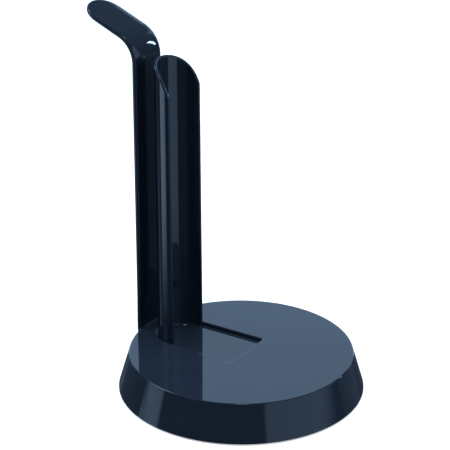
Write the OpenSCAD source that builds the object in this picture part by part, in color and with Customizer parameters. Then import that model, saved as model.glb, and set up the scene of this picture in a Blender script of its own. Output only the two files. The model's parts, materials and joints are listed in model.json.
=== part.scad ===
// Paper towel holder whose post slides on a sprung carriage, so that the roll always leans on the arm.
// Millimetres. The origin is the middle of the underside, +Z is up,
// and +X runs from the arm through the middle of the base, the way the post slides.

/* [Base] */
// Diameter of the base at the lower edge of its skirt
base_d = 175; // [172:1:215]
// How far the skirt leans in between its lower edge and the top
skirt_lean = 7.9; // [4:0.1:9]
// Height of the top of the base above the worktop
base_h = 27.7; // [27:0.1:34]
// Wall of the skirt, measured across
shell_wall = 2.6; // [2:0.1:3.2]
// Thickness of the top
top_t = 2.5; // [2.5:0.1:4]
// Rounding of the rim where the top meets the skirt
rim_r = 1; // [0.5:0.1:1.5]
// Height of the skirt's lower edge above the worktop
skirt_gap = 1; // [0.6:0.1:1.5]
// Thickness of the cover under the base
cover_t = 2.5; // [2:0.1:3]
// Thickness of the steel weight
ballast_t = 3; // [2:0.1:4]
// Diameter of the rubber pad underneath
pad_d = 118; // [60:1:124]
// How deep the rubber pad is set into the cover
pad_sunk = 0.8; // [0.4:0.1:1.2]

/* [Post] */
// Outer diameter of the half tube that holds the roll
post_d = 39; // [30:0.5:42]
// Wall of the half tube
post_wall = 2.4; // [1.8:0.1:3]
// Height of the top of the half tube above the worktop
post_h = 234.2; // [150:0.1:320]
// Radius of the curve that the top edge falls along to the open side
post_top_r = 36.5; // [20:0.5:60]
// How steeply the top edge falls where it leaves the back
post_top_fall = 22; // [0:1:40]
// How far the open side stands in front of the tube's axis at the foot
post_front_foot = 2.7; // [0:0.1:5]
// How far it stands in front of the axis at the top
post_front_top = 1.2; // [0:0.1:5]
// Depth of the solid foot below the sliding plate
post_foot_t = 6.3; // [5:0.1:8]
// Gap between the arm and the back of the half tube, at rest
rest_gap = 9.3; // [5:0.1:15]

/* [Arm] */
// Width of the arm
arm_w = 31.1; // [20:0.1:34]
// Thickness of the arm
arm_t = 3; // [2:0.1:4]
// Distance from the rim in to the outer face of the arm, below 0 when it stands outside the rim
arm_edge = -1.1; // [-1.5:0.1:6]
// Height at which the arm starts to bend outwards
arm_bend_z = 230.4; // [150:0.1:320]
// Radius inside the bend
bend_r = 17.8; // [8:0.1:24]
// Slope of the head above level
head_angle = 22.8; // [10:0.1:45]
// Length of the head from the end of the bend to its tip
head_len = 37.3; // [25:0.1:60]
// Radius inside the bend at the foot
arm_foot_r = 3; // [2:0.5:5]
// Length of the arm's foot, beyond its lower bend
arm_foot_len = 24; // [20:0.5:30]

/* [Slide] */
// How far the post slides away from the arm
travel = 45; // [20:1:48]
// Width of the opening that the post slides in, at its front end
track_w = 43.1; // [42.6:0.1:46]
// Gap between the half tube and the rear end of the opening, which is rounded like the tube
track_back_gap = 0.8; // [0.6:0.1:2]
// Room left in front of the half tube at the end of its travel
track_front_gap = 5.4; // [1:0.1:8]
// Thickness of the sliding plate that is the floor of the opening
plate_t = 2.5; // [2:0.1:3]
// How far the sliding plate laps under the sides of the opening
plate_lap = 3.1; // [2:0.1:3.5]
// How far it laps under the front end of the opening
plate_front_lap = 6; // [4:0.1:10]
// Diameter of the guide rods
rod_d = 5; // [4:0.5:6]
// Distance between the two guide rods
rod_spacing = 68; // [66:0.5:70]
// Outside diameter of the bushes in the carriage
bush_d = 8; // [7:0.5:9]
// Length of each bush
bush_len = 6; // [4:0.5:10]
// Length of the two beams that carry the bushes
beam_len = 40; // [30:1:44]
// Depth of the carriage
carriage_h = 10.3; // [9.5:0.1:11]
// Length of each rod block, along the rod
block_len = 8; // [6:0.5:10]
// Length of the rubber stop behind the carriage
bumper_len = 6; // [3:0.5:6]
// Length of the return springs when the post is fully out
spring_short = 17; // [15:0.5:20]
// Wire of the return springs
spring_wire = 0.8; // [0.6:0.1:0.9]
// Turns in each return spring
spring_turns = 14; // [10:1:16]

/* [Screws] */
// Radius of the case screws' thread
case_screw_r = 1.5; // [1.25:0.05:1.75]
// Radius of the small screws' thread
small_screw_r = 1.25; // [1:0.05:1.5]
// Depth of the screw heads
head_t = 1.5; // [1.2:0.1:1.8]

/* [Hidden] */
$fn = 96;

shell_colour = [0.11, 0.14, 0.18];
inner_colour = [0.16, 0.17, 0.19];
steel_colour = [0.62, 0.63, 0.65];
bronze_colour = [0.70, 0.52, 0.30];
rubber_colour = [0.08, 0.08, 0.08];

eps = 0.01;
over = 1; // how far a cutting tool runs past the face it opens
seat_clear = 0.15; // gap round a piece that drops into a seat
cover_clear = 0.3; // gap round the bottom cover
rub_clear = 0.2; // gap over the sliding plate
run_clear = 0.03; // gap all round a guide rod in its bush
touch_clear = 0.1; // gap that stands for a light touch
arc_steps = 20; // straight steps in each bend of the arm

// Base
base_r = base_d / 2;
top_r = base_r - skirt_lean;
ceiling_z = base_h - top_t;
cover_top = skirt_gap + cover_t;
ballast_top = cover_top + ballast_t;
function skirt_r(z) = base_r - skirt_lean * (z - skirt_gap) / (base_h - skirt_gap);
function inner_r(z) = skirt_r(z) - shell_wall;
cover_r = inner_r(cover_top) - cover_clear;
ballast_r = cover_r - 4;

// Arm
arm_back = arm_edge - top_r;
arm_front = arm_back + arm_t;
arm_foot_top = ballast_top + arm_t;
arm_foot_end = arm_front + arm_foot_r + arm_foot_len;
arm_screw_y = 8;
arm_screw_xs = [arm_front + arm_foot_r + 4, arm_foot_end - 5];

// Post, and the opening it slides in
post_r = post_d / 2;
bore_r = post_r - post_wall;
post_x = arm_front + rest_gap + post_r;
track_r = post_r + track_back_gap;
track_front = post_x + post_front_foot + travel + track_front_gap;

// Sliding plate and carriage
plate_top = ceiling_z - rub_clear;
plate_bottom = plate_top - plate_t;
plate_w = track_w + 2 * plate_lap;
plate_back = arm_front + 1.5;
plate_front = track_front + plate_front_lap;
carriage_bottom = plate_bottom - carriage_h;
foot_bottom = plate_bottom - post_foot_t;
carriage_back = post_x - post_r - 2.5;
carriage_front = post_x + post_r + 2;
carriage_w = post_d + 8;

// Guide rods, their blocks and the beams that run on them
rod_r = rod_d / 2;
rod_y = rod_spacing / 2;
rod_z = plate_bottom - carriage_h / 2;
beam_w = bush_d + 6;
beam_back = post_x - 4.5;
beam_front = beam_back + beam_len;
spring_long = travel + spring_short;
block_w = beam_w;
rear_block_x = beam_back - bumper_len - touch_clear;
front_block_x = beam_front + spring_long;
rod_end_wall = 1;
rod_back = rear_block_x - block_len + rod_end_wall;
rod_front = front_block_x + block_len - rod_end_wall;
block_screw_dy = rod_r + small_screw_r + 1;

// Return springs
spring_r = bush_d / 2 + spring_wire / 2 + 0.1;
spring_ring = 12; // steps in one turn
spring_sides = 6;
SIDES = [-1, 1]; // near side, far side

// Screws
head_r = case_screw_r * 2;
small_head_r = small_screw_r * 2;
boss_r = case_screw_r + 2.5;
boss_pilot = 8; // how deep a screw runs into its boss
cover_screw_ring = top_r - 10.4;
cover_screw_angles = [45, 90, 135, 225, 270, 315];
plate_boss_r = 3.5;
plate_boss_t = post_foot_t - 0.5;
boss_back = carriage_back - post_x + plate_boss_r + 1;
boss_side = carriage_w / 2 - plate_boss_r - 1.35;
boss_front = carriage_front - post_x - plate_boss_r - 6;
plate_bosses = [for (side = SIDES) each [[boss_back, side * boss_side],
    [boss_front, side * (boss_side - 2.5)]]];
post_screw_spots = post_r * [[-0.6, 0], [-0.2, -0.56], [-0.2, 0.56]];
small_screw_bite = 4.5; // how far a small screw holds

// ---- shared shapes ----

module tube(outer, inner, length) {
    difference() {
        cylinder(r = outer, h = length);
        translate([0, 0, -over]) cylinder(r = inner, h = length + 2 * over);
    }
}

// A solid along +X from x
module along_x(x, y, z) {
    translate([x, y, z]) rotate([0, 90, 0]) children();
}

module box(x0, x1, width, z0, z1) {
    translate([x0, -width / 2, z0]) cube([x1 - x0, width, z1 - z0]);
}

// Points along an arc
function arc_points(centre, r, from, to) =
    [for (i = [0 : arc_steps]) let (a = from + (to - from) * i / arc_steps)
        centre + r * [cos(a), sin(a)]];

// Stands an outline drawn in X and Z up, and gives it a width along Y
module upright(width) {
    rotate([90, 0, 0]) linear_extrude(height = width, center = true) children();
}

module screw(thread_r, big_r, length) {
    translate([0, 0, -head_t]) difference() {
        cylinder(r = big_r, h = head_t);
        translate([0, 0, -over]) cylinder(r = thread_r * 0.75, h = over + head_t / 2, $fn = 6);
    }
    cylinder(r = thread_r, h = length);
}

module at_cover_screws() {
    for (a = cover_screw_angles)
        rotate([0, 0, a]) translate([cover_screw_ring, 0, 0]) children();
}

module at_arm_screws() {
    for (x = arm_screw_xs, side = SIDES)
        translate([x, side * arm_screw_y, 0]) children();
}

module at_post_screws() {
    for (spot = post_screw_spots)
        translate([post_x + spot[0], spot[1], 0]) children();
}

module at_plate_bosses() {
    for (spot = plate_bosses)
        translate([post_x + spot[0], spot[1], 0]) children();
}

module at_block_screws(xs, sides) {
    for (x = xs, side = sides, dy = [-block_screw_dy, block_screw_dy])
        translate([x, side * rod_y + dy, 0]) children();
}

rear_cap_x = rear_block_x - block_len / 2;
front_cap_x = front_block_x + block_len / 2;

// ---- base ----

module rim_cut() {
    lean = atan(skirt_lean / (base_h - skirt_gap));
    reach = 2 * rim_r;
    centre = [top_r - rim_r * (1 - sin(lean)) / cos(lean), base_h - rim_r];
    translate(centre) difference() {
        polygon([[0, 0], [0, reach], [reach, reach], reach * [cos(lean), sin(lean)]]);
        circle(r = rim_r);
    }
}

module shell_section() {
    difference() {
        polygon([[0, skirt_gap], [base_r, skirt_gap], [top_r, base_h], [0, base_h]]);
        polygon([[0, skirt_gap - over], [inner_r(skirt_gap - over), skirt_gap - over],
            [inner_r(ceiling_z), ceiling_z], [0, ceiling_z]]);
        rim_cut();
    }
}

module rod_blocks() {
    for (x = [rear_block_x - block_len, front_block_x], side = SIDES)
        translate([x, side * rod_y - block_w / 2, rod_z])
            cube([block_len, block_w, ceiling_z - rod_z + eps]);
}

// The opening in the top: round behind the post, and a little wider towards its front end
module track_outline() {
    translate([post_x, 0]) circle(r = track_r);
    polygon([[post_x, 0.1 - track_r], [track_front, -track_w / 2],
        [track_front, track_w / 2], [post_x, track_r - 0.1]]);
}

module base_shell() {
    stop_x = plate_front + travel + touch_clear;
    color(shell_colour) difference() {
        union() {
            rotate_extrude() shell_section();
            rod_blocks();
            at_cover_screws() translate([0, 0, ballast_top])
                cylinder(r = boss_r, h = ceiling_z - ballast_top + eps);
            // Rib that stops the sliding plate at the end of its travel
            box(stop_x, stop_x + 3, 24, plate_bottom - 1, ceiling_z + eps);
        }
        translate([0, 0, ceiling_z - over]) linear_extrude(height = top_t + 2 * over) track_outline();
        box(arm_back - seat_clear, arm_front + seat_clear, arm_w + 2 * seat_clear,
            arm_foot_top, base_h + over);
        for (side = SIDES) along_x(rod_back, side * rod_y, rod_z)
            cylinder(r = rod_r, h = rod_front - rod_back);
        at_cover_screws() translate([0, 0, ballast_top - over])
            cylinder(r = case_screw_r, h = boss_pilot + over);
        at_block_screws([rear_cap_x, front_cap_x], SIDES) translate([0, 0, rod_z - over])
            cylinder(r = small_screw_r, h = small_screw_bite + over);
    }
}

module bottom_cover() {
    color(inner_colour) difference() {
        translate([0, 0, skirt_gap]) cylinder(r = cover_r, h = cover_t);
        translate([0, 0, skirt_gap - over]) cylinder(d = pad_d + 2 * seat_clear, h = pad_sunk + over);
        at_cover_screws() {
            translate([0, 0, skirt_gap - over]) cylinder(r = head_r + seat_clear, h = head_t + over);
            cylinder(r = case_screw_r + seat_clear, h = cover_top + over);
        }
    }
}

module non_slip_pad() {
    color(rubber_colour) cylinder(d = pad_d, h = skirt_gap + pad_sunk);
}

module ballast_plate() {
    color(steel_colour) difference() {
        translate([0, 0, cover_top]) cylinder(r = ballast_r, h = ballast_t);
        at_cover_screws() cylinder(r = case_screw_r + seat_clear, h = ballast_top + over);
        at_arm_screws() {
            translate([0, 0, cover_top - over]) cylinder(r = head_r + seat_clear, h = head_t + over);
            cylinder(r = case_screw_r + seat_clear, h = ballast_top + over);
        }
    }
}

module cover_screws() {
    color(steel_colour) at_cover_screws() translate([0, 0, skirt_gap + head_t])
        screw(case_screw_r, head_r, ballast_top + boss_pilot - skirt_gap - head_t);
}

// ---- arm ----

// One side of the strip, at a given distance from its outer face
function arm_line(inset) =
    let (turn = 90 - head_angle, top = [arm_back - bend_r, arm_bend_z], r = bend_r + inset,
        low = [arm_front + arm_foot_r, arm_foot_top + arm_foot_r], low_r = arm_foot_r + arm_t - inset)
    concat([[arm_foot_end, low[1] - low_r]],
        arc_points(low, low_r, 270, 180),
        arc_points(top, r, 0, turn),
        [top + r * [cos(turn), sin(turn)] + head_len * [-sin(turn), cos(turn)]]);

module arm_side_view() {
    front = arm_line(arm_t);
    back = arm_line(0);
    polygon(concat(back, [for (i = [len(front) - 1 : -1 : 0]) front[i]]));
}

// What is cut off to make the head's end round
module head_end_cut() {
    tip_r = arm_w / 2 + 0.3; // a little over half the width, so that it crosses the sides
    translate([arm_back - bend_r, 0, arm_bend_z]) rotate([0, head_angle - 90, 0])
        translate([bend_r - over, 0, head_len - tip_r]) rotate([0, 90, 0])
            linear_extrude(height = arm_t + 2 * over) difference() {
                translate([-tip_r - over, -tip_r - over]) square([tip_r + over, 2 * (tip_r + over)]);
                circle(r = tip_r);
            }
}

module tension_arm() {
    color(shell_colour) difference() {
        upright(arm_w) arm_side_view();
        head_end_cut();
        at_arm_screws() cylinder(r = case_screw_r, h = arm_foot_top + over);
    }
}

module arm_screws() {
    color(steel_colour) at_arm_screws() translate([0, 0, cover_top + head_t])
        screw(case_screw_r, head_r, arm_foot_top - cover_top - head_t);
}

// ---- guide rods and springs ----

module guide_rod(side) {
    color(steel_colour) along_x(rod_back, side * rod_y, rod_z)
        cylinder(r = rod_r, h = rod_front - rod_back);
}

module rod_cap(x, side) {
    color(inner_colour) difference() {
        translate([x - block_len / 2, side * rod_y - block_w / 2, carriage_bottom])
            cube([block_len, block_w, rod_z - carriage_bottom]);
        along_x(rod_back, side * rod_y, rod_z) cylinder(r = rod_r, h = rod_front - rod_back);
        at_block_screws([x], [side]) translate([0, 0, carriage_bottom - over])
            cylinder(r = small_screw_r, h = rod_z - carriage_bottom + 2 * over);
    }
}

module rod_cap_screws() {
    color(steel_colour) at_block_screws([rear_cap_x, front_cap_x], SIDES)
        translate([0, 0, carriage_bottom])
            screw(small_screw_r, small_head_r, rod_z - carriage_bottom + small_screw_bite - 1);
}

module bumper(side) {
    color(rubber_colour) along_x(rear_block_x, side * rod_y, rod_z)
        tube(rod_r + 2, rod_r + touch_clear, bumper_len);
}

// A spring's distance along its axis after so many turns: its first and last turns lie closed
function spring_at(turns, length) =
    turns < 1 ? turns * spring_wire
    : turns > spring_turns - 1 ? length - (spring_turns - turns) * spring_wire
    : spring_wire + (turns - 1) * (length - 2 * spring_wire) / (spring_turns - 2);

module coil_spring(length) {
    rings = spring_turns * spring_ring;
    wire_r = spring_wire / 2;
    points = [for (i = [0 : rings], j = [0 : spring_sides - 1])
        let (turn = i / spring_ring, a = 360 * turn, b = 360 * j / spring_sides,
            r = spring_r + wire_r * cos(b))
        [r * cos(a), r * sin(a), spring_at(turn, length) + wire_r * sin(b)]];
    walls = [for (i = [0 : rings - 1], j = [0 : spring_sides - 1])
        let (a = i * spring_sides + j, b = i * spring_sides + (j + 1) % spring_sides)
        each [[a, a + spring_sides, b], [b, a + spring_sides, b + spring_sides]]];
    start = [for (j = [0 : spring_sides - 1]) j];
    end = [for (j = [spring_sides - 1 : -1 : 0]) rings * spring_sides + j];
    polyhedron(points, concat(walls, [start, end]));
}

module return_spring(side) {
    margin = spring_wire / 2 + touch_clear;
    color(steel_colour) along_x(beam_front + margin, side * rod_y, rod_z)
        coil_spring(spring_long - 2 * margin);
}

// ---- sliding post ----

module post_side_view() {
    centre = [-post_r - post_top_r * sin(post_top_fall), post_h - post_top_r * cos(post_top_fall)];
    difference() {
        polygon([[-post_r - over, plate_bottom - eps], [post_front_foot, plate_bottom - eps],
            [post_front_top, post_h], [-post_r - over, post_h]]);
        translate(centre) difference() {
            square(post_top_r + over);
            circle(r = post_top_r);
        }
    }
}

// The half disc below the plate that the screws hold
module post_foot(gap) {
    intersection() {
        translate([post_x, 0, foot_bottom]) cylinder(r = post_r + gap, h = post_foot_t);
        box(post_x - post_d, post_x + post_front_foot + gap, 2 * post_d, foot_bottom, plate_bottom);
    }
}

module core_post() {
    color(shell_colour) difference() {
        union() {
            intersection() {
                translate([post_x, 0, plate_bottom - eps])
                    tube(post_r, bore_r, post_h - plate_bottom + eps);
                translate([post_x, 0, 0]) upright(post_d + 2 * over) post_side_view();
            }
            post_foot(0);
        }
        at_post_screws() translate([0, 0, foot_bottom - over])
            cylinder(r = small_screw_r, h = small_screw_bite + over);
    }
}

module slide_plate() {
    color(shell_colour) difference() {
        union() {
            // Its rear corners are round, to clear the skirt
            intersection() {
                box(plate_back, plate_front, plate_w, plate_bottom, plate_top);
                cylinder(r = inner_r(plate_top) - 1, h = plate_top + over);
            }
            at_plate_bosses() translate([0, 0, plate_bottom - plate_boss_t])
                cylinder(r = plate_boss_r, h = plate_boss_t + eps);
        }
        intersection() {
            translate([post_x, 0, plate_bottom - over])
                tube(post_r + seat_clear, bore_r - seat_clear, plate_t + 2 * over);
            box(post_x - post_d, post_x + post_front_foot + seat_clear, 2 * post_d,
                plate_bottom - over, plate_top + over);
        }
        at_plate_bosses() translate([0, 0, plate_bottom - plate_boss_t - over])
            cylinder(r = small_screw_r, h = small_screw_bite + over);
    }
}

module carriage() {
    color(inner_colour) difference() {
        union() {
            box(carriage_back, carriage_front, carriage_w, carriage_bottom, plate_bottom);
            box(beam_back + bush_len, beam_front - bush_len, rod_spacing,
                carriage_bottom, plate_bottom);
            for (side = SIDES) translate([beam_back, side * rod_y - beam_w / 2, carriage_bottom])
                cube([beam_len, beam_w, carriage_h]);
        }
        post_foot(seat_clear);
        translate([0, 0, plate_bottom]) post_seat_mouth();
        for (side = SIDES) carriage_bore(side);
        at_plate_bosses() {
            translate([0, 0, plate_bottom - plate_boss_t])
                cylinder(r = plate_boss_r + seat_clear, h = plate_boss_t + over);
            carriage_screw_hole();
        }
        at_post_screws() carriage_screw_hole();
    }
}

// Opens the post's seat through the top of the carriage
module post_seat_mouth() {
    intersection() {
        translate([post_x, 0, -eps]) cylinder(r = post_r + seat_clear, h = over);
        box(post_x - post_d, post_x + post_front_foot + seat_clear, 2 * post_d, -over, over);
    }
}

module carriage_bore(side) {
    along_x(beam_back - over, side * rod_y, rod_z) {
        cylinder(r = rod_r + 0.5, h = beam_len + 2 * over);
        cylinder(r = bush_d / 2, h = bush_len + over);
        translate([0, 0, beam_len + over - bush_len]) cylinder(r = bush_d / 2, h = bush_len + over);
    }
}

module carriage_screw_hole() {
    translate([0, 0, carriage_bottom - over])
        cylinder(r = small_head_r + seat_clear, h = head_t + over);
    translate([0, 0, carriage_bottom])
        cylinder(r = small_screw_r + seat_clear, h = foot_bottom - carriage_bottom + over);
}

module bush(x, side) {
    color(bronze_colour) along_x(x, side * rod_y, rod_z)
        tube(bush_d / 2, rod_r + run_clear, bush_len);
}

module carriage_screw(top_z) {
    translate([0, 0, carriage_bottom + head_t])
        screw(small_screw_r, small_head_r, top_z - carriage_bottom - head_t);
}

module post_screws() {
    color(steel_colour) at_post_screws() carriage_screw(foot_bottom + small_screw_bite - 0.5);
}

module plate_screws() {
    color(steel_colour) at_plate_bosses()
        carriage_screw(plate_bottom - plate_boss_t + small_screw_bite - 0.5);
}

base_shell();
bottom_cover();
non_slip_pad();
ballast_plate();
tension_arm();
guide_rod(-1);  // guide_rod_near
guide_rod(1);  // guide_rod_far
rod_cap(rear_cap_x, -1);  // rod_cap_near_rear
rod_cap(front_cap_x, -1);  // rod_cap_near_front
rod_cap(rear_cap_x, 1);  // rod_cap_far_rear
rod_cap(front_cap_x, 1);  // rod_cap_far_front
bumper(-1);  // bumper_near
bumper(1);  // bumper_far
return_spring(-1);  // return_spring_near
return_spring(1);  // return_spring_far
cover_screws();
arm_screws();
rod_cap_screws();
core_post();
slide_plate();
carriage();
bush(beam_back, -1);  // bush_near_rear
bush(beam_front - bush_len, -1);  // bush_near_front
bush(beam_back, 1);  // bush_far_rear
bush(beam_front - bush_len, 1);  // bush_far_front
post_screws();
plate_screws();
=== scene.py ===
import json
import math
import bpy
import bmesh
import numpy as np
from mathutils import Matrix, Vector


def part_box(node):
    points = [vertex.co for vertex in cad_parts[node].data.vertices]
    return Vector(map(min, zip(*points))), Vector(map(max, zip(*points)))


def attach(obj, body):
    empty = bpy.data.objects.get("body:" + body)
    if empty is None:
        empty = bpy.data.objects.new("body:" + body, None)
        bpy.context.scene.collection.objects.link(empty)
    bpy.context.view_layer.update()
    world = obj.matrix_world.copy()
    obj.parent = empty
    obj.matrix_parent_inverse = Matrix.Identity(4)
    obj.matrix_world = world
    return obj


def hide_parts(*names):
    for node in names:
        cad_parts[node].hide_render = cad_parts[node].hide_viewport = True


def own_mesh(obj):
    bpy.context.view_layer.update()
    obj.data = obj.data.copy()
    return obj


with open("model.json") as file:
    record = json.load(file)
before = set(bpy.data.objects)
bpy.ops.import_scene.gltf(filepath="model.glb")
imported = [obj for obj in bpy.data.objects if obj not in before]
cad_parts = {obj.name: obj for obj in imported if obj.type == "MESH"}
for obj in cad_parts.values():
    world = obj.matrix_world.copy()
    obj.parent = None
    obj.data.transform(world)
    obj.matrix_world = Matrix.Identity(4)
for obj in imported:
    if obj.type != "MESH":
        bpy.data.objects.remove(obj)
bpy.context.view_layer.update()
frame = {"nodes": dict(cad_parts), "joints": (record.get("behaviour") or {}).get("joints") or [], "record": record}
nodes = frame["nodes"]
mm = 0.001
travel = frame["joints"][0]["range_m"][1]
print("stage: frame loaded")


def hexToLinear(code):
    def one(part):
        v = int(part, 16) / 255
        return v / 12.92 if v <= 0.04045 else ((v + 0.055) / 1.055) ** 2.4
    code = code.lstrip("#")
    return (one(code[0:2]), one(code[2:4]), one(code[4:6]), 1.0)


def addNode(tree, kind, settings=None, links=None):
    node = tree.nodes.new(kind)
    for name, value in (settings or {}).items():
        if isinstance(name, int) or name in node.inputs:
            node.inputs[name].default_value = value
        else:
            setattr(node, name, value)
    for name, source in (links or {}).items():
        tree.links.new(source, node.inputs[name])
    return node


def startMaterial(name, settings):
    material = bpy.data.materials.new(name)
    material.use_nodes = True
    tree = material.node_tree
    tree.nodes.clear()
    shader = addNode(tree, "ShaderNodeBsdfPrincipled", settings)
    addNode(tree, "ShaderNodeOutputMaterial", None, {"Surface": shader.outputs[0]})
    place = addNode(tree, "ShaderNodeTexCoord").outputs["Object"]
    return material, tree, shader, place


def addNoise(tree, place, size, detail=2.0, stretch=(1, 1, 1), roughness=0.5):
    # size is the width of one patch, in metres
    scaled = addNode(tree, "ShaderNodeMapping", {"Scale": [s / size for s in stretch]}, {"Vector": place})
    return addNode(tree, "ShaderNodeTexNoise", {"Scale": 1.0, "Detail": detail, "Roughness": roughness},
                   {"Vector": scaled.outputs[0]}).outputs["Fac"]


def spread(tree, value, low, high):
    # Noise seldom leaves 0.3 to 0.7, so that much of it is drawn out to the whole range
    ends = {"From Min": 0.3, "From Max": 0.7, "To Min": low, "To Max": high}
    return addNode(tree, "ShaderNodeMapRange", ends, {"Value": value}).outputs[0]


def tint(tree, value, dark, light):
    ramp = addNode(tree, "ShaderNodeValToRGB", None, {"Fac": value})
    ramp.color_ramp.elements[0].position, ramp.color_ramp.elements[1].position = 0.3, 0.7
    ramp.color_ramp.elements[0].color = hexToLinear(dark)
    ramp.color_ramp.elements[1].color = hexToLinear(light)
    return ramp.outputs[0]


def bump(tree, value, height):
    shape = addNode(tree, "ShaderNodeBump", {"Strength": 1.0, "Distance": height}, {"Height": value})
    return shape.outputs[0]


glossAbs = {
    "dark": "#1F2834", "light": "#222B37",  # navy so deep that it reads as black away from the light
    "roughness": (0.012, 0.04),
    "flowMarks": 28 * mm,     # slow sink and flow of the moulding
    "waviness": 0.0012 * mm,
    "handling": 6 * mm,       # faint haze left by wiping
}


def mouldedGlossAbs():
    # Injection-moulded ABS from a mirror-polished tool: reflections stay sharp, and only waver a little
    material, tree, shader, place = startMaterial("mouldedGlossAbs", {"IOR": 1.53})
    flow = addNoise(tree, place, glossAbs["flowMarks"], 2.0)
    wiped = addNoise(tree, place, glossAbs["handling"], 3.0, (1, 1, 0.3))
    tree.links.new(tint(tree, flow, glossAbs["dark"], glossAbs["light"]), shader.inputs["Base Color"])
    tree.links.new(spread(tree, wiped, *glossAbs["roughness"]), shader.inputs["Roughness"])
    tree.links.new(bump(tree, flow, glossAbs["waviness"]), shader.inputs["Normal"])
    return material


def erodedAbs():
    # Moulded ABS from a spark-eroded tool: fine even grain that scatters the light to a satin grey-black.
    # The real grain is about 0.1 mm wide; it is drawn at 0.5 mm so that it shows.
    material, tree, shader, place = startMaterial("erodedAbs", {"IOR": 1.53})
    grain = addNoise(tree, place, 0.5 * mm, 3.0)
    cloud = addNoise(tree, place, 25 * mm, 2.0)
    tree.links.new(tint(tree, cloud, "#15171B", "#1D2024"), shader.inputs["Base Color"])
    tree.links.new(spread(tree, grain, 0.42, 0.58), shader.inputs["Roughness"])
    tree.links.new(bump(tree, grain, 0.02 * mm), shader.inputs["Normal"])
    return material


def mouldedRubber():
    # Compression-moulded rubber: dull, slightly dusty black with a soft tooth
    material, tree, shader, place = startMaterial("mouldedRubber", {"IOR": 1.52})
    dust = addNoise(tree, place, 9 * mm, 4.0)
    tooth = addNoise(tree, place, 0.4 * mm, 2.0)
    tree.links.new(tint(tree, dust, "#131313", "#222120"), shader.inputs["Base Color"])
    tree.links.new(spread(tree, dust, 0.7, 0.88), shader.inputs["Roughness"])
    tree.links.new(bump(tree, tooth, 0.03 * mm), shader.inputs["Normal"])
    return material


def groundSteel():
    # Centreless-ground steel bar: bright, with rings of fine scratches round the rod
    material, tree, shader, place = startMaterial("groundSteel", {"Metallic": 1.0})
    rings = addNoise(tree, place, 0.25 * mm, 3.0, (1, 0.02, 0.02))
    tree.links.new(tint(tree, rings, "#B9BBBE", "#C9CBCE"), shader.inputs["Base Color"])
    tree.links.new(spread(tree, rings, 0.12, 0.24), shader.inputs["Roughness"])
    tree.links.new(bump(tree, rings, 0.002 * mm), shader.inputs["Normal"])
    return material


def zincPlatedSteel():
    # Rolled steel plate, zinc plated: soft grey with cloudy spangle about 3 mm across
    material, tree, shader, place = startMaterial("zincPlatedSteel", {"Metallic": 1.0})
    cells = addNode(tree, "ShaderNodeTexVoronoi", {"Scale": 1 / (3 * mm)}, {"Vector": place})
    spangle = cells.outputs["Distance"]
    cloud = addNoise(tree, place, 14 * mm, 3.0)
    tree.links.new(tint(tree, cloud, "#8E9194", "#A6A9AB"), shader.inputs["Base Color"])
    tree.links.new(spread(tree, spangle, 0.34, 0.5), shader.inputs["Roughness"])
    return material


def platedScrewSteel():
    # Cold-headed steel screws, nickel plated: warm bright grey with duller patches
    material, tree, shader, place = startMaterial("platedScrewSteel", {"Metallic": 1.0})
    wear = addNoise(tree, place, 1.2 * mm, 3.0)
    tree.links.new(tint(tree, wear, "#A9A8A4", "#C4C2BC"), shader.inputs["Base Color"])
    tree.links.new(spread(tree, wear, 0.22, 0.4), shader.inputs["Roughness"])
    return material


def drawnSpringWire():
    # Hard-drawn spring wire: darker steel, finely mottled
    material, tree, shader, place = startMaterial("drawnSpringWire", {"Metallic": 1.0})
    lines = addNoise(tree, place, 0.3 * mm, 2.0)
    tree.links.new(tint(tree, lines, "#7E8084", "#9A9CA0"), shader.inputs["Base Color"])
    tree.links.new(spread(tree, lines, 0.2, 0.34), shader.inputs["Roughness"])
    return material


def sinteredBronze():
    # Oil-filled sintered bronze: brown-gold, finely porous, darker where the oil sits
    material, tree, shader, place = startMaterial("sinteredBronze", {"Metallic": 1.0})
    pores = addNoise(tree, place, 0.3 * mm, 4.0)
    tree.links.new(tint(tree, pores, "#7A5A32", "#B08850"), shader.inputs["Base Color"])
    tree.links.new(spread(tree, pores, 0.5, 0.32), shader.inputs["Roughness"])
    tree.links.new(bump(tree, pores, 0.01 * mm), shader.inputs["Normal"])
    return material


finishes = {
    "gloss_shell": mouldedGlossAbs(), "matte_inner": erodedAbs(), "pad_rubber": mouldedRubber(),
    "rod_steel": groundSteel(), "ballast_steel": zincPlatedSteel(), "screw_steel": platedScrewSteel(),
    "spring_steel": drawnSpringWire(), "bush_bronze": sinteredBronze(),
}
print("stage: materials made")


def newObject(name, points, faces):
    mesh = bpy.data.meshes.new(name)
    mesh.from_pydata([tuple(p) for p in points], [], faces)
    bm = bmesh.new()
    bm.from_mesh(mesh)
    bmesh.ops.recalc_face_normals(bm, faces=bm.faces)
    bm.to_mesh(mesh)
    bm.free()
    made = bpy.data.objects.new(name, mesh)
    bpy.context.scene.collection.objects.link(made)
    return made


def applyModifiers(piece):
    ready = piece.evaluated_get(bpy.context.evaluated_depsgraph_get())
    mesh = bpy.data.meshes.new_from_object(ready)
    piece.modifiers.clear()
    piece.data = mesh


def combine(piece, tools, operation):
    joined = joinShapes("tool", tools)
    change = piece.modifiers.new("combine", "BOOLEAN")
    change.operation, change.solver, change.object = operation, "EXACT", joined
    applyModifiers(piece)
    bpy.data.objects.remove(joined)


def joinShapes(name, shapes):
    points, faces = [], []
    for shapePoints, shapeFaces in shapes:
        first = len(points)
        points += [tuple(p) for p in shapePoints]
        faces += [[first + i for i in face] for face in shapeFaces]
    return newObject(name, points, faces)


def softenEdges(piece, width, steps=3):
    change = piece.modifiers.new("edges", "BEVEL")
    change.width, change.segments = width, steps
    change.limit_method, change.angle_limit = "ANGLE", math.radians(35)
    applyModifiers(piece)
    smoothFaces(piece)


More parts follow.
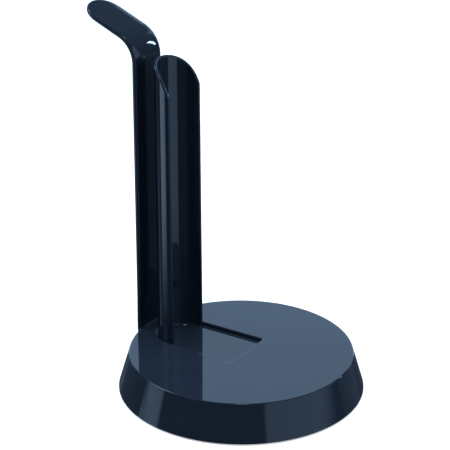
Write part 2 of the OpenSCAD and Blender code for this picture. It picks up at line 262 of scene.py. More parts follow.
def smoothFaces(piece):
    piece.data.shade_smooth()
    piece.data.set_sharp_from_angle(angle=math.radians(50))
    weigh = piece.modifiers.new("shading", "WEIGHTED_NORMAL")
    weigh.keep_sharp = True
    applyModifiers(piece)


def takePlace(piece, body, slot, *replaced):
    piece.data.materials.clear()
    piece.data.materials.append(finishes[slot])
    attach(piece, body)
    if replaced:
        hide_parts(*replaced)
    print("piece:", piece.name, len(piece.data.polygons), "faces")


def ringFaces(rings, steps):
    # Faces between rings of points that stand one after another, and one at each end
    faces = []
    for first in range(0, (rings - 1) * steps, steps):
        for i in range(steps):
            a, b = first + i, first + (i + 1) % steps
            faces.append([a, b, b + steps, a + steps])
    last = (rings - 1) * steps
    return faces + [list(range(steps))[::-1], [last + i for i in range(steps)]]


def lathe(profile, steps):
    points = [(r * math.cos(a), r * math.sin(a), z) for r, z in profile
              for a in (2 * math.pi * i / steps for i in range(steps))]
    return points, ringFaces(len(profile), steps)


def prism(outline, low, high):
    points = [(x, y, z) for z in (low, high) for x, y in outline]
    return points, ringFaces(2, len(outline))


def rectangle(x0, x1, y0, y1):
    return [(x0, y0), (x1, y0), (x1, y1), (x0, y1)]


def disc(x, y, r, steps=48):
    return [(x + r * math.cos(2 * math.pi * i / steps), y + r * math.sin(2 * math.pi * i / steps))
            for i in range(steps)]


def alongX(shape, x, y, z):
    points, faces = shape
    return [(x + p[2], y + p[1], z - p[0]) for p in points], faces


def arc(x, y, r, start, stop, steps):
    return [(x + r * math.cos(math.radians(start + (stop - start) * i / steps)),
             y + r * math.sin(math.radians(start + (stop - start) * i / steps))) for i in range(steps + 1)]


def islands(node):
    # The box of each separate solid in a CAD node
    bm = bmesh.new()
    bm.from_mesh(nodes[node].data)
    bmesh.ops.remove_doubles(bm, verts=bm.verts, dist=1e-6)
    left, boxes = set(bm.verts), []
    while left:
        group, found = [left.pop()], []
        while group:
            vertex = group.pop()
            found.append(vertex.co.copy())
            for edge in vertex.link_edges:
                other = edge.other_vert(vertex)
                if other in left:
                    left.discard(other)
                    group.append(other)
        boxes.append(tuple(Vector([pick(p[i] for p in found) for i in range(3)]) for pick in (min, max)))
    bm.free()
    return sorted(boxes, key=lambda b: (round(b[0].x, 4), round(b[0].y, 4)))


def sheet(name, left, end, half, place, rimSteps=10):
    # A bent sheet of even thickness with full-round edges. It is drawn flat, as (across, along), by the left
    # side and the far end of the line that the rounding starts from, and place() bends it to shape.
    left, end = np.array(left), np.array(end)
    right = left * [-1, 1]
    lengths = np.concatenate([[0], np.cumsum(np.linalg.norm(np.diff(left, axis=0), axis=1))])
    v = (lengths / lengths[-1])[:, None, None]
    share = (end[:, 0] - end[0, 0]) / (end[-1, 0] - end[0, 0])
    u = share[None, :, None]
    start = left[0] + share[:, None] * (right[0] - left[0])
    flat = ((1 - u) * left[:, None] + u * right[:, None] + (1 - v) * start[None] + v * end[None]
            - (1 - u) * (1 - v) * start[0] - u * (1 - v) * start[-1] - (1 - u) * v * end[0] - u * v * end[-1])
    rows, columns = flat.shape[0], flat.shape[1]
    inner = flat.reshape(-1, 2)
    edge = np.concatenate([left, end[1:], right[::-1][1:]])
    along = np.gradient(edge, axis=0)
    out = np.stack([-along[:, 1], along[:, 0]], 1)
    out /= np.linalg.norm(out, axis=1)[:, None]

    parts = [(inner, np.zeros_like(inner), 90)]
    parts += [(edge, out, 90 - 180 * k / rimSteps) for k in range(1, rimSteps)]
    parts += [(inner, np.zeros_like(inner), -90)]
    points, normals, starts = [], [], []
    for spots, away, turn in parts:
        c, s = math.cos(math.radians(turn)), math.sin(math.radians(turn))
        a, b = (spots + away * half * c).T
        h = np.full_like(a, half * s)
        d = 1e-6
        across = place(a + d, b, h) - place(a - d, b, h)
        forward = place(a, b + d, h) - place(a, b - d, h)
        rise = place(a, b, h + d) - place(a, b, h - d)
        across /= np.linalg.norm(across, axis=1)[:, None]
        forward /= np.linalg.norm(forward, axis=1)[:, None]
        face = np.cross(across, forward)
        face *= np.sign((face * rise).sum(1))[:, None] / np.linalg.norm(face, axis=1)[:, None]
        starts.append(len(points))
        points += [tuple(p) for p in place(a, b, h)]
        normals += [tuple(n) for n in (c * (away[:, :1] * across + away[:, 1:] * forward) + s * face)]

    grid = np.arange(rows * columns).reshape(rows, columns)
    border = np.concatenate([grid[:, 0], grid[-1, 1:], grid[::-1, -1][1:]])
    rings = [border + starts[0]]
    rings += [np.arange(len(edge)) + first for first in starts[1:-1]]
    rings += [border + starts[-1]]
    faces = []
    for i in range(rows - 1):
        for j in range(columns - 1):
            quad = [grid[i, j], grid[i, j + 1], grid[i + 1, j + 1], grid[i + 1, j]]
            faces += [[int(q) for q in quad], [int(q) + starts[-1] for q in quad[::-1]]]
    for one, two in zip(rings, rings[1:]):
        faces += [[int(one[i]), int(one[i + 1]), int(two[i + 1]), int(two[i])] for i in range(len(edge) - 1)]
    foot = list(grid[0] + starts[0]) + [r[-1] for r in rings[1:-1]] + list(grid[0][::-1] + starts[-1])
    faces.append([int(p) for p in foot + [r[0] for r in rings[1:-1][::-1]]])
    made = newObject(name, points, faces)
    made.data.shade_smooth()
    made.data.normals_split_custom_set_from_vertices([tuple(Vector(n).normalized()) for n in normals])
    return made


shellLow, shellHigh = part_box("base_shell")
postLow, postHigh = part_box("core_post")
plateLow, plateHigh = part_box("slide_plate")
armLow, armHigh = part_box("tension_arm")
coverLow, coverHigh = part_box("bottom_cover")
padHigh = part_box("non_slip_pad")[1]
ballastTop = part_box("ballast_plate")[1].z
topZ = shellHigh.z
postR = postHigh.y
postX = postLow.x + postR
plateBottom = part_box("carriage")[1].z
ceilingZ = plateHigh.z + 0.2 * mm  # underside of the top, just clear of the sliding plate
cutPast = 1 * mm                   # how far a cutting shape runs past what it cuts
fitGap = 0.15 * mm                 # round a piece that sits in a hole
rodBlocks = ("rod_cap_near_rear", "rod_cap_near_front", "rod_cap_far_rear", "rod_cap_far_front")
print("stage: measures taken")


shell = {
    "grow": 0.2 * mm,        # how much further out the skirt stands than the frame's own shell
    "lean": 7.9 * mm,        # how far the skirt leans in
    "wall": 2.6 * mm,
    "rim": 0.8 * mm,         # rounding of the rim
    "edge": 0.25 * mm,       # rounding of every other edge
    "mouth": 1.0 * mm,       # rounding round the opening
    "steps": 288,
    "trackGap": 0.8 * mm,    # gap behind the post
    "trackWide": 43.1 * mm,  # width of the opening at its front end
    "trackFront": 4.9 * mm,  # room in front of the post at the end of its travel
    "postFront": 3.2 * mm,   # how far the post's open side stands in front of its axis, at the foot
    "corner": 1.2 * mm,      # rounding of the opening's front corners
    "bossR": 4 * mm,         # bosses that the cover's screws go into
    "sink": 0.4 * mm,        # how far what hangs from the top runs up into it
    "stopThick": 3 * mm,     # the rib that stops the plate at the end of its travel
    "stopWide": 24 * mm,
    "stopGap": 0.1 * mm,
    "notchFloor": 3 * mm,    # floor of the arm's notch, above the ballast
}
baseR = shellHigh.x + shell["grow"]


def skirtRadius(z):
    return baseR - shell["lean"] * (z - shellLow.z) / (topZ - shellLow.z)


def trackOutline(away=0.0):
    # The opening seen from above, or a line the same distance away from it all round
    r = postR + shell["trackGap"] + away
    front = postX + shell["postFront"] + travel + shell["trackFront"] + away
    wide, corner = shell["trackWide"] / 2 + away, shell["corner"] + away
    side = arc(front - corner, -wide + corner, corner, -90, 0, 6)
    other = arc(front - corner, wide - corner, corner, 0, 90, 6)
    return arc(postX, 0, r, 90, 270, 48) + side + other


def trackCutter():
    # The opening widens upwards along a quarter round, which leaves its edge rounded
    r, past = shell["mouth"], 0.002 * mm  # the round ends just past the top, so that the cut is clean
    turns = [math.radians(a) for a in range(0, 91, 15)]
    levels = [(0.0, ceilingZ - cutPast)]
    levels += [(r * (1 - math.cos(a)), topZ - r + (r + past) * math.sin(a)) for a in turns]
    levels.append((r, topZ + cutPast))
    points = [(x, y, z) for away, z in levels for x, y in trackOutline(away)]
    return points, ringFaces(len(levels), len(trackOutline()))


def buildBaseShell():
    lean = math.atan2(shell["lean"], topZ - shellLow.z)
    topR, r, wall = skirtRadius(topZ), shell["rim"], shell["wall"]
    middle = topR - r * (1 - math.sin(lean)) / math.cos(lean)
    rim = arc(middle, topZ - r, r, 90, math.degrees(lean), 8)
    low = shellLow.z
    profile = rim + [(baseR, low), (skirtRadius(low) - wall, low), (skirtRadius(ceilingZ) - wall, ceilingZ)]
    points, faces = lathe(profile, shell["steps"])
    piece = newObject("baseShell", points, faces)
    over = ceilingZ + shell["sink"]
    added = []
    for name in rodBlocks:
        a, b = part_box(name)
        added.append(prism(rectangle(a.x, b.x, a.y, b.y), b.z, over))
    for a, b in islands("cover_screws"):
        centre = (a + b) / 2
        added.append(prism(disc(centre.x, centre.y, shell["bossR"]), ballastTop, over))
    stop, stopSide = plateHigh.x + travel + shell["stopGap"], shell["stopWide"] / 2
    rib = rectangle(stop, stop + shell["stopThick"], -stopSide, stopSide)
    added.append(prism(rib, plateBottom - 1 * mm, over))
    combine(piece, added, "UNION")
    legRear, legFront = armSlice()
    notch = rectangle(legRear - fitGap, legFront + fitGap, armLow.y - fitGap, armHigh.y + fitGap)
    removed = [prism(notch, ballastTop + shell["notchFloor"], topZ + cutPast)]
    for name in ("guide_rod_near", "guide_rod_far"):
        a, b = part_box(name)
        rod = lathe([((b.y - a.y) / 2, a.x), ((b.y - a.y) / 2, b.x)], 32)
        removed.append(alongX(rod, 0, (a.y + b.y) / 2, (a.z + b.z) / 2))
    combine(piece, removed, "DIFFERENCE")
    softenEdges(piece, shell["edge"])
    combine(piece, [trackCutter()], "DIFFERENCE")
    smoothFaces(piece)
    takePlace(piece, "base", "gloss_shell", "base_shell")


cover = {
    "toGroove": 4 * mm,      # from the pad's seat to a shallow moulded ring
    "grooveDeep": 0.5 * mm,
    "grooveWide": 1.6 * mm,
    "headDeep": 1.5 * mm,    # sinks for the screws' heads
    "holeR": 1.65 * mm,
    "edge": 0.25 * mm,
    "steps": 192,
}


def buildCover():
    r, low, high = coverHigh.x, coverLow.z, coverHigh.z
    seat = padHigh.x + fitGap
    start, stop = seat + cover["toGroove"], seat + cover["toGroove"] + cover["grooveWide"]
    deep = low + cover["grooveDeep"]
    profile = [(seat, padHigh.z), (seat, low), (start, low), (start, deep), (stop, deep), (stop, low)]
    profile += [(r, low), (r, high)]
    piece = newObject("bottomCover", *lathe(profile, cover["steps"]))
    heads, holes = [], []
    for a, b in islands("cover_screws"):
        x, y, head = (a.x + b.x) / 2, (a.y + b.y) / 2, (b.x - a.x) / 2
        heads.append(prism(disc(x, y, head + fitGap), low - cutPast, low + cover["headDeep"]))
        holes.append(prism(disc(x, y, cover["holeR"]), low + 1 * mm, high + cutPast))
    combine(piece, heads, "DIFFERENCE")
    combine(piece, holes, "DIFFERENCE")
    softenEdges(piece, cover["edge"], 2)
    takePlace(piece, "base", "matte_inner", "bottom_cover")


pad = {
    "grooves": 7,
    "grooveDeep": 0.45 * mm,
    "grooveWide": 1.6 * mm,
    "firstGroove": 14 * mm,  # radius of the innermost
    "spacing": 6.4 * mm,
    "rim": 0.4 * mm,         # rounding of the outer edge
    "edge": 0.12 * mm,
    "steps": 160,
}


def buildPad():
    r, high, rim = padHigh.x, padHigh.z, pad["rim"]
    profile = [(pad["firstGroove"] * 0.6, 0)]
    for i in range(pad["grooves"]):
        start, wide, deep = pad["firstGroove"] + i * pad["spacing"], pad["grooveWide"], pad["grooveDeep"]
        profile += [(start, 0), (start + 0.25 * wide, deep), (start + 0.75 * wide, deep), (start + wide, 0)]
    profile += arc(r - rim, rim, rim, -90, 0, 5) + [(r, high)]
    piece = newObject("nonSlipPad", *lathe(profile, pad["steps"]))
    softenEdges(piece, pad["edge"], 2)
    takePlace(piece, "base", "pad_rubber", "non_slip_pad")


arm = {
    "bendR": 17.8 * mm,      # inside the upper bend
    "bendZ": 230.4 * mm,     # where it starts
    "headAngle": 22.4,       # slope of the head above level
    "headLen": 37.3 * mm,
    "footR": 3 * mm,         # inside the lower bend
    "crown": 1.1 * mm,       # how far the middle of the strip stands forward of its edges
    "crownRun": 25 * mm,     # height over which it rises to that, above the base
    "flare": 2.3 * mm,       # fillet between the arm and the top of the base
    "bury": 0.3 * mm,        # how far the fillet's inside runs into the arm and the base
}


def armSlice():
    # Rear and front of the arm's upright leg, taken where the bend starts; the head is further back
    headX = -90 * mm
    xs = [v.co.x for v in nodes["tension_arm"].data.vertices
          if abs(v.co.z - arm["bendZ"]) < 0.1 * mm and v.co.x > headX]
    return min(xs), max(xs)


def armPath():
    # The middle line's parts as (length, turn in degrees), then where it starts and its heading there
    half = (armSlice()[1] - armSlice()[0]) / 2
    lowBend, highBend = arm["footR"] + half, arm["bendR"] + half
    footMiddle = armLow.z + half
    turn = 90 - arm["headAngle"]
    run = armHigh.x - (armSlice()[1] + arm["footR"])
    leg = arm["bendZ"] - (footMiddle + lowBend)
    return [(run, 0), (lowBend * math.pi / 2, -90), (leg, 0), (highBend * math.radians(turn), turn),
            (arm["headLen"], 0)], (armHigh.x, footMiddle), 180


def bentLine(lengths):
    # Points and headings along the arm's middle line
    parts, (x, z), heading = armPath()
    xs, zs, headings = np.zeros_like(lengths), np.zeros_like(lengths), np.zeros_like(lengths)
    start = 0.0
    for index, (length, turn) in enumerate(parts):
        last = index == len(parts) - 1
        inside = (lengths >= start) & (lengths < start + length) | (last & (lengths >= start + length))
        if index == 0:
            inside |= lengths < start
        along, angle = lengths[inside] - start, math.radians(heading)
        if turn:
            rate = math.radians(turn) / length
            angles = angle + rate * along
            xs[inside] = x + (np.sin(angles) - math.sin(angle)) / rate
            zs[inside] = z - (np.cos(angles) - math.cos(angle)) / rate
            stop = angle + math.radians(turn)
            x += (math.sin(stop) - math.sin(angle)) / rate
            z -= (math.cos(stop) - math.cos(angle)) / rate
        else:
            angles = angle
            xs[inside], zs[inside] = x + along * math.cos(angle), z + along * math.sin(angle)
            x, z = x + length * math.cos(angle), z + length * math.sin(angle)
        headings[inside] = angles
        heading, start = heading + turn, start + length
    return xs, zs, headings


def smoothStep(share):
    return share * share * (3 - 2 * share)


def buildArm():
    half, width = (armSlice()[1] - armSlice()[0]) / 2, armHigh.y - armLow.y
    total = sum(length for length, _ in armPath()[0])
    side, endR = width / 2 - half, width / 2 - half
    straight = total - width / 2
    footUp = sum(length for length, _ in armPath()[0][:2]) + (topZ - armLow.z)

    def place(a, b, h):
        x, z, heading = bentLine(b)
        u = a / (width / 2)
        share = np.clip((b - footUp) / arm["crownRun"], 0, 1)
        falls = 0.4 * u ** 2 + 0.6 * u ** 10  # a little over the whole width, and quickly at the edges
        h = h + arm["crown"] * smoothStep(share) * (1 - falls)
        return np.stack([x + h * np.sin(heading), a, z - h * np.cos(heading)], 1)

    left = [(-side, b) for b in np.linspace(0, straight, 240)[:-1]]
    left += arc(0, straight, endR, 180, 135, 8)
    end = arc(0, straight, endR, 135, 45, 18)
    piece = sheet("tensionArm", left, end, half, place)
    takePlace(piece, "base", "gloss_shell", "tension_arm")


def buildArmFillet():
    # The fillet where the arm comes out of the base: it runs round the front and fades towards the back
    half, width = (armSlice()[1] - armSlice()[0]) / 2, armHigh.y - armLow.y
    middle, side, steps = sum(armSlice()) / 2, width / 2 - half, 8
    inset, bury = 0.02 * mm, arm["bury"]
    ring = [(math.radians(-90 + 9 * i), -side) for i in range(11)]
    ring += [(0, -side + 2 * side * i / 12) for i in range(1, 12)]
    ring += [(math.radians(9 * i), side) for i in range(11)]
    points, faces = [], []
    for turn, y in ring:
        c, s = math.cos(turn), math.sin(turn)
        share = min(1, max(0, (c - 0.15) / 0.75))
        size = arm["flare"] * smoothStep(share) + inset
        for k in range(steps + 1):
            t = math.radians(90 * k / steps)
            away, up = size * (1 - math.cos(t)), size * (1 - math.sin(t))
            reach = half - inset + away
            points.append((middle + reach * c, y + reach * s, topZ - inset / 2 + up))
        points.append((middle + (half - bury) * c, y + (half - bury) * s, topZ - bury))
    per = steps + 2
    for i in range(len(ring) - 1):
        faces += [[i * per + k, i * per + (k + 1) % per, (i + 1) * per + (k + 1) % per, (i + 1) * per + k]
                  for k in range(per)]
    faces += [list(range(per)), list(range((len(ring) - 1) * per, len(ring) * per))[::-1]]
    flare = newObject("armFillet", points, faces)
    flare.data.shade_smooth()
    flare.data.set_sharp_from_angle(angle=math.radians(50))
    takePlace(flare, "base", "gloss_shell", "tension_arm")


post = {
    "wall": 2.4 * mm,
    "frontFoot": 3.2 * mm,   # how far the open side stands in front of the axis at the foot
    "frontTop": 1.7 * mm,    # and at the top
    "topR": 37.3 * mm,       # curve of the falling top edge
    "topFall": 21,           # degrees it already falls by at the back
    "kinkR": 5 * mm,         # rounding where the top edge meets the open side
    "fillet": 1.5 * mm,      # inside, where the tube meets its plate
    "edge": 0.2 * mm,        # rounding of the foot under the plate
}


def postEdge():
    # The tube's edge seen from the side, from the foot to the back of the top: distance from the axis, height
    fall, r, kink = math.radians(post["topFall"]), post["topR"], post["kinkR"]
    cx, cz = -postR - r * math.sin(fall), postHigh.z - r * math.cos(fall)

    def front(z):
        share = (z - plateBottom) / (postHigh.z - plateBottom)
        return post["frontFoot"] + (post["frontTop"] - post["frontFoot"]) * share

    tilt = math.atan2(post["frontFoot"] - post["frontTop"], postHigh.z - plateBottom)
    low, high = cz - 20 * mm, postHigh.z
    for _ in range(60):  # the rounding touches the front edge and the curve
        z = (low + high) / 2
        x = front(z) - kink * math.cos(tilt)
        if math.hypot(x - cx, z - kink * math.sin(tilt) - cz) < r - kink:
            low = z
        else:
            high = z
    kx, kz = front(z) - kink * math.cos(tilt), z - kink * math.sin(tilt)
    lowRows = [plateBottom, plateHigh.z - 0.05 * mm]  # close together where the inside fillet is
    lowRows += [plateHigh.z + h * mm for h in (0.12, 0.3, 0.6, 0.95, 1.3, 1.7, 3)]
    side = [(front(h), h) for h in lowRows + list(np.linspace(lowRows[-1] + 2 * mm, z - 0.8 * mm, 84))]
    steep = math.degrees(math.atan2(kz - cz, kx - cx))
    kinkArc = arc(kx, kz, kink, math.degrees(tilt), steep, 12)
    back = math.degrees(math.acos(-(kinkArc[-1][0]) / postR))
    top = []
    for turn in np.linspace(back, 0, 33)[1:]:
        x = -postR * math.cos(math.radians(turn))
        top.append((x, cz + math.sqrt(r * r - (x - cx) ** 2)))
    return side, kinkArc, top


def buildPost():
    half = post["wall"] / 2
    middleR = postR - half
    side, kink, top = postEdge()
    edge = np.array([(math.acos(max(-1, min(1, -x / postR))) * middleR, z) for x, z in side + kink + top])
    whole = np.concatenate([edge * [-1, 1], edge[::-1][1:]])
    along = np.gradient(whole, axis=0)
    out = np.stack([-along[:, 1], along[:, 0]], 1)
    out /= np.linalg.norm(out, axis=1)[:, None]
    inner = whole - out * half
    inner[0, 1] = inner[-1, 1] = plateBottom
    corner = len(side) + len(kink) // 2
    left = inner[:corner + 1]
    end = inner[corner:len(inner) - corner]

    def place(a, b, h):
        turn = a / middleR
        up = np.clip((b - plateHigh.z) / post["fillet"], 0, 1)
        swell = post["fillet"] * (1 - np.sqrt(np.clip(1 - (1 - up) ** 2, 0, 1)))
        swell = np.where(b < plateHigh.z, 0, swell)
        radius = middleR + h - swell * np.clip(-h / half, 0, 1)
        return np.stack([postX - radius * np.cos(turn), radius * np.sin(turn), b], 1)

    piece = sheet("corePost", left, end, half, place)
    takePlace(piece, "slider", "gloss_shell", "core_post")


def buildPostFoot():
    # The solid foot that the screws hold, below the plate
    front = post["frontFoot"]
    turn = math.degrees(math.acos(front / postR))
    outline = arc(postX, 0, postR, turn, 360 - turn, 72)
    foot = newObject("postFoot", *prism(outline, postLow.z, plateBottom))
    softenEdges(foot, post["edge"])
    takePlace(foot, "slider", "gloss_shell", "core_post")


plate = {
    "skirtGap": 1 * mm,      # between its rear corners and the skirt
    "bossR": 3.5 * mm,       # bosses for the screws
    "edge": 0.12 * mm,
}


def buildPlate():
    clear = skirtRadius(plateHigh.z) - shell["wall"] - plate["skirtGap"]
    rear = [(max(plateLow.x, -math.sqrt(clear ** 2 - y ** 2)), y)
            for y in np.linspace(plateHigh.y, plateLow.y, 41)]
    outline = rear + [(plateHigh.x, plateLow.y), (plateHigh.x, plateHigh.y)]
    piece = newObject("slidePlate", *prism(outline, plateBottom, plateHigh.z))
    bosses = [prism(disc((a.x + b.x) / 2, (a.y + b.y) / 2, plate["bossR"]), plateLow.z,
                    plateBottom + shell["sink"]) for a, b in islands("plate_screws")]
    combine(piece, bosses, "UNION")
    outer, inner = postR + fitGap, postR - post["wall"] - fitGap
    front = post["frontFoot"] + fitGap
    one, two = math.degrees(math.acos(front / outer)), math.degrees(math.acos(front / inner))
    slot = arc(postX, 0, outer, one, 360 - one, 96) + arc(postX, 0, inner, 360 - two, two, 96)
    combine(piece, [prism(slot, plateBottom - cutPast, plateHigh.z + cutPast)], "DIFFERENCE")
    softenEdges(piece, plate["edge"], 2)
    takePlace(piece, "slider", "gloss_shell", "slide_plate")


spring = {
    "wire": 0.8 * mm,        # thickness
    "turns": 14,
    "closed": 1.1,           # turns that lie shut at each end
    "steps": 28,             # in one turn
    "sides": 10,             # round the wire
}


def buildSpring(side):
    low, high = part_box("return_spring_" + side)
    wire, turns = spring["wire"] / 2, spring["turns"]
    r = (high.y - low.y) / 2 - wire
    start, length = low.x + wire, high.x - low.x - 2 * wire
    y, z = (low.y + high.y) / 2, (low.z + high.z) / 2
    shut, pitch = spring["closed"], spring["wire"]

    def along(t):
        if t < shut:
            return t * pitch
        if t > turns - shut:
            return length - (turns - t) * pitch
        return shut * pitch + (t - shut) * (length - 2 * shut * pitch) / (turns - 2 * shut)

    count, sides = turns * spring["steps"], spring["sides"]
    points = []
    for i in range(count + 1):
        t = i / spring["steps"]
        a = 2 * math.pi * t
        for k in range(sides):
            b = 2 * math.pi * k / sides
            x, reach = start + along(t) + wire * math.sin(b), r + wire * math.cos(b)
            points.append((x, y + reach * math.sin(a), z + reach * math.cos(a)))
    piece = newObject("returnSpring" + side.capitalize(), points, ringFaces(count + 1, sides))
    piece.data.shade_smooth()
    piece.data.set_sharp_from_angle(angle=math.radians(60))
    takePlace(piece, "base", "spring_steel", "return_spring_" + side)
    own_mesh(piece)


screw = {
    "headT": 1.5 * mm,
    # The head's outline, as shares of its radius and of its thickness
    "dome": ((0.5, 0.02), (0.8, 0.12), (0.95, 0.34), (1, 0.6), (1, 1.0)),
    "pitch": 0.9 * mm,
    "thread": 0.2,           # depth of the thread, as a share of the radius
    "tip": 1.2 * mm,         # length that narrows to the point
    "tipR": 0.55,            # share of the radius left at the point
    "crossLong": 0.62,       # half the recess, as shares of the head's radius
    "crossWide": 0.13,
    "crossDeep": 0.7,        # as a share of the head's thickness
    "steps": 24,
    "rows": 5,               # in one pitch
}


def threadedScrew(headR, shankR, length):
    # Head down, point up: a low domed head with a cross recess, and a cut thread
    headT, pitch, steps = screw["headT"], screw["pitch"], screw["steps"]
    turns = [2 * math.pi * i / steps for i in range(steps)]
    rings = [(headR * r, share) for r, share in screw["dome"]]
    points = [(r * math.cos(a), r * math.sin(a), share * headT) for r, share in rings for a in turns]
    count = int((length - headT) / pitch * screw["rows"])
    for k in range(count + 1):
        z = headT + (length - headT) * k / count
        fade = min(1, (length - z) / screw["tip"]) * (1 - screw["tipR"]) + screw["tipR"]
        for i, a in enumerate(turns):
            phase = (z / pitch - i / steps) % 1
            r = shankR * (1 - screw["thread"] * abs(2 * phase - 1)) * fade
            points.append((r * math.cos(a), r * math.sin(a), z))
    piece = newObject("screw", points, ringFaces(len(rings) + count + 1, steps))
    reach, wide, deep = headR * screw["crossLong"], headR * screw["crossWide"], headT * screw["crossDeep"]
    for long, across in ((reach, wide), (wide, reach)):
        combine(piece, [prism(rectangle(-long, long, -across, across), -cutPast, deep)], "DIFFERENCE")
    shape = [v.co.copy() for v in piece.data.vertices], [list(p.vertices) for p in piece.data.polygons]
    bpy.data.objects.remove(piece)
    return shape


def buildScrews(name, node, body, shankR):
    boxes = islands(node)
    low, high = boxes[0]
    points, faces = threadedScrew((high.x - low.x) / 2, shankR, high.z - low.z)
    shapes = []
    for count, (a, b) in enumerate(boxes):
        x, y = (a.x + b.x) / 2, (a.y + b.y) / 2
        turn = 0.7 * count  # each stops where it was tightened
        c, s = math.cos(turn), math.sin(turn)
        shapes.append(([(x + c * p.x - s * p.y, y + s * p.x + c * p.y, a.z + p.z) for p in points], faces))
    piece = joinShapes(name, shapes)
    piece.data.shade_smooth()
    piece.data.set_sharp_from_angle(angle=math.radians(38))
    takePlace(piece, body, "screw_steel", node)


def finishKept(edge=0.15 * mm):
    # Pieces whose CAD shape is right keep it, with their finish and a small round on their edges
    for row in frame["record"]["subparts"]:
        kept = nodes[row["node"]]
        if not kept.hide_render:
            kept.data.materials.clear()
            kept.data.materials.append(finishes[row["material_slot"]])
            change = kept.modifiers.new("edges", "BEVEL")
            change.width, change.segments = edge, 2
            change.limit_method, change.angle_limit = "ANGLE", math.radians(40)


buildBaseShell()
buildCover()
buildPad()
buildArm()
buildArmFillet()
buildPost()
buildPostFoot()
buildPlate()
for side in ("near", "far"):
    buildSpring(side)
for name, node, body, shankR in (("coverScrews", "cover_screws", "base", 1.5 * mm),
                                 ("armScrews", "arm_screws", "base", 1.5 * mm),
                                 ("rodCapScrews", "rod_cap_screws", "base", 1.25 * mm),
                                 ("postScrews", "post_screws", "slider", 1.25 * mm),
                                 ("plateScrews", "plate_screws", "slider", 1.25 * mm)):
    buildScrews(name, node, body, shankR)
finishKept()
print("stage: pieces made")


view = {
    "turn": 33.51,     # degrees that the camera stands round from -Y towards +X
    "height": 23.5,    # degrees looked down
    "distance": 1225.7 * mm,
    "aimSide": -11.62 * mm,
    "aimUp": 124.11 * mm,
    "lens": 141.9,
}


def placeCamera():
    turn, height = math.radians(view["turn"]), math.radians(view["height"])
    right = Vector((math.cos(turn), math.sin(turn), 0))
    level = Vector((-math.sin(turn), math.cos(turn), 0))
    ahead = level * math.cos(height) - Vector((0, 0, math.sin(height)))
    aim = right * view["aimSide"] + Vector((0, 0, view["aimUp"]))
    data = bpy.data.cameras.new("camera")
    data.lens, data.sensor_width = view["lens"], 36
    camera = bpy.data.objects.new("camera", data)
    camera.location = aim - ahead * view["distance"]
    camera.rotation_euler = ahead.to_track_quat("-Z", "Y").to_euler()
    bpy.context.scene.collection.objects.link(camera)
    bpy.context.scene.camera = camera


studio = {
    "cool": (0.60, 0.88, 1.25),  # colour of the lit panels
    "dim": 0.08,                 # the unlit studio, as a share of that
    # Each panel has a compass direction from +X, half its width, its lowest and highest edge and the width of
    # its soft edge, all in degrees, and its power. Round the holder, the gloss shows nothing else.
    "panels": [
        {"to": 122, "half": 52, "low": -8, "high": 32, "soft": 2.5, "power": 1.0},    # backdrop
        {"to": -146, "half": 13, "low": -24.5, "high": -9, "soft": 3, "power": 1.6},  # table near the strip
        {"to": -146, "half": 10, "low": -9, "high": 44, "soft": 3, "power": 1.0},     # strip on the left
        {"to": -168, "half": 17, "low": 38, "high": 56, "soft": 3, "power": 6},       # lamp above it
        {"to": 5, "half": 40, "low": -6, "high": 30, "soft": 3, "power": 0.75},       # screen on the right
        {"to": -8, "half": 22, "low": -25, "high": -5, "soft": 3, "power": 0.85},     # its glow on the table
        {"to": 123, "half": 34, "low": -11, "high": 4, "soft": 2.5, "power": 4.5},    # table's far end
        {"to": -148, "half": 35, "low": -80, "high": -31, "soft": 3, "power": 0.9},   # table on the left
        {"to": -55, "half": 10, "low": 58, "high": 72, "soft": 3, "power": 9},        # lamp over the front
        {"to": 168, "half": 22, "low": -60, "high": -20, "soft": 3, "power": 0.2},    # table, back left
        {"to": 68, "half": 20, "low": -19, "high": -6, "soft": 3, "power": 0.16},     # table, back right
        {"to": 56, "half": 0.8, "low": 7, "high": 19, "soft": 0.6, "power": 24},      # small lamp behind
    ],
}


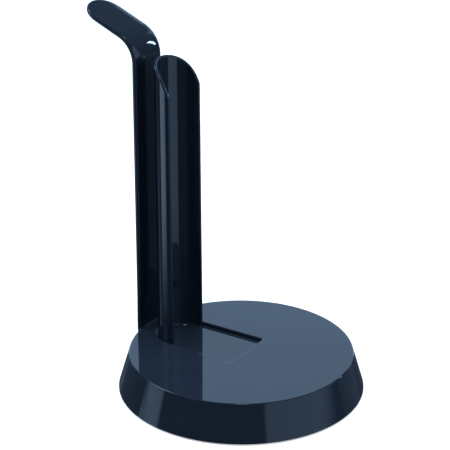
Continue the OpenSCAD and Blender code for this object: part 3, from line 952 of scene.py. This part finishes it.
def lightStudio():
    world = bpy.data.worlds.new("studio")
    bpy.context.scene.world = world
    world.use_nodes = True
    tree = world.node_tree
    tree.nodes.clear()
    towards = addNode(tree, "ShaderNodeTexCoord").outputs["Generated"]
    height = addNode(tree, "ShaderNodeSeparateXYZ", None, {0: towards}).outputs[2]
    level = addNode(tree, "ShaderNodeVectorMath", {"operation": "MULTIPLY", 1: (1, 1, 0)}, {0: towards})
    level = addNode(tree, "ShaderNodeVectorMath", {"operation": "NORMALIZE"}, {0: level.outputs[0]})

    def between(value, start, stop):
        low, high = min(start, stop), max(start, stop)
        ends = (0, 1) if stop > start else (1, 0)
        return addNode(tree, "ShaderNodeMapRange", {"interpolation_type": "SMOOTHSTEP", "From Min": low,
                       "From Max": high, "To Min": ends[0], "To Max": ends[1]}, {"Value": value}).outputs[0]

    def join(operation, one, two):
        return addNode(tree, "ShaderNodeMath", {"operation": operation}, {0: one, 1: two}).outputs[0]

    total = addNode(tree, "ShaderNodeValue").outputs[0]
    total.default_value = studio["dim"]
    angles = ("to", "half", "low", "high", "soft")
    for panel in studio["panels"]:
        to, half, low, high, soft = (math.radians(panel[key]) for key in angles)
        above = between(height, math.sin(low - soft), math.sin(low + soft))
        below = between(height, math.sin(high + soft), math.sin(high - soft))
        facing = addNode(tree, "ShaderNodeVectorMath",
                         {"operation": "DOT_PRODUCT", 1: (math.cos(to), math.sin(to), 0)},
                         {0: level.outputs[0]}).outputs["Value"]
        beside = between(facing, math.cos(half + soft), math.cos(half - soft))
        lit = join("MULTIPLY", join("MULTIPLY", above, below), beside)
        bright = addNode(tree, "ShaderNodeMath", {"operation": "MULTIPLY", 1: panel["power"]}, {0: lit})
        total = join("MAXIMUM", total, bright.outputs[0])
    lamps = addNode(tree, "ShaderNodeBackground", {"Color": (*studio["cool"], 1)}, {"Strength": total})
    backdrop = addNode(tree, "ShaderNodeBackground", {"Color": (1, 1, 1, 1), "Strength": 1.0})
    seen = addNode(tree, "ShaderNodeLightPath").outputs["Is Camera Ray"]
    mixed = addNode(tree, "ShaderNodeMixShader", None, {0: seen, 1: lamps.outputs[0], 2: backdrop.outputs[0]})
    addNode(tree, "ShaderNodeOutputWorld", None, {"Surface": mixed.outputs[0]})


overhead = {"size": 1.7, "height": 3.0, "watts": 76, "colour": (0.92, 0.96, 1.0)}  # a round one, in metres


def hangLamp():
    # It lights the plastic's own colour, and keeps out of its reflections
    data = bpy.data.lights.new("overhead", "AREA")
    data.shape, data.size, data.energy = "DISK", overhead["size"], overhead["watts"]
    data.color = overhead["colour"]
    lamp = bpy.data.objects.new("overhead", data)
    lamp.visible_glossy = False
    lamp.location = (0, 0, overhead["height"])  # an area light shines down as it is
    bpy.context.scene.collection.objects.link(lamp)


table = {"half": 4.0, "drop": 0.05 * mm, "white": (0.8, 0.8, 0.8, 1), "glow": 0.5}


def layFloor():
    half = table["half"]
    corners = [(x, y, 0) for x, y in rectangle(-half, half, -half, half)]
    floor = newObject("floor", corners, [[0, 1, 2, 3]])
    floor.location.z = -table["drop"]
    material = bpy.data.materials.new("whiteTable")  # matt, with a glow of its own that keeps it white
    material.use_nodes = True
    tree = material.node_tree
    tree.nodes.clear()
    matt = addNode(tree, "ShaderNodeBsdfDiffuse", {"Color": table["white"]})
    glow = addNode(tree, "ShaderNodeEmission", {"Color": (1, 1, 1, 1), "Strength": table["glow"]})
    both = addNode(tree, "ShaderNodeAddShader", None, {0: matt.outputs[0], 1: glow.outputs[0]})
    addNode(tree, "ShaderNodeOutputMaterial", None, {"Surface": both.outputs[0]})
    floor.data.materials.append(material)
    floor.visible_glossy = False
    floor.visible_diffuse = False


placeCamera()
lightStudio()
hangLamp()
layFloor()
bpy.context.scene.view_settings.view_transform = "Standard"
print("stage: camera, floor and light set")
